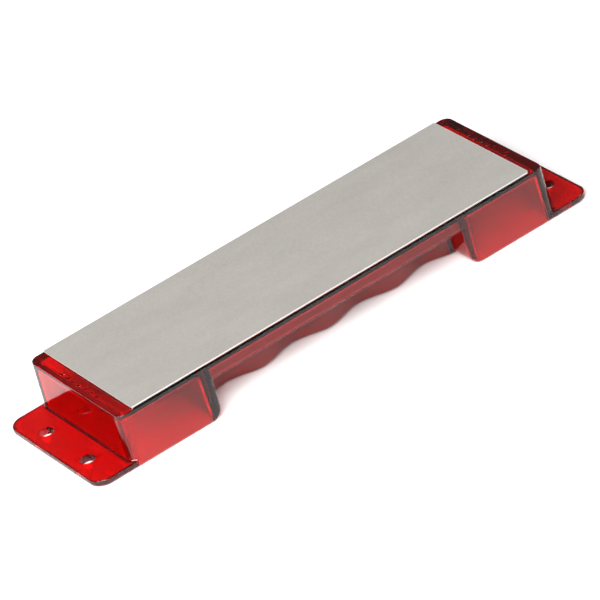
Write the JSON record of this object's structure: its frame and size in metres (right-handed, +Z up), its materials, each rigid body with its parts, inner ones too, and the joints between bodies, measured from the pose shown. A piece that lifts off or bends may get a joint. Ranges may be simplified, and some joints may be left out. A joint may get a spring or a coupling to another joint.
{
  "type": "edge tuning stone",
  "caption": "Bench stone for tuning ski edges: flat diamond-coated steel plate on a clear moulded bridge with a wavy finger grip and screw-down end flanges.",
  "frame": {"origin": "centre of the footprint, on the bench surface", "axes": "+X along the length, +Y across the width, +Z up out of the honing face"},
  "size_m": [0.19, 0.054, 0.0197],
  "materials": {
    "clear_red_plastic": "clear red injection-moulded plastic, glossy outside",
    "adhesive": "thin dark film adhesive",
    "plate_steel": "ground flat steel",
    "diamond_nickel": "matt electroplated nickel with fine diamond grit"
  },
  "bodies": {
    "root": {"base": "clear_red_plastic", "glue_film": "adhesive", "honing_plate": "plate_steel", "diamond_layer": "diamond_nickel"}
  },
  "joints": []
}
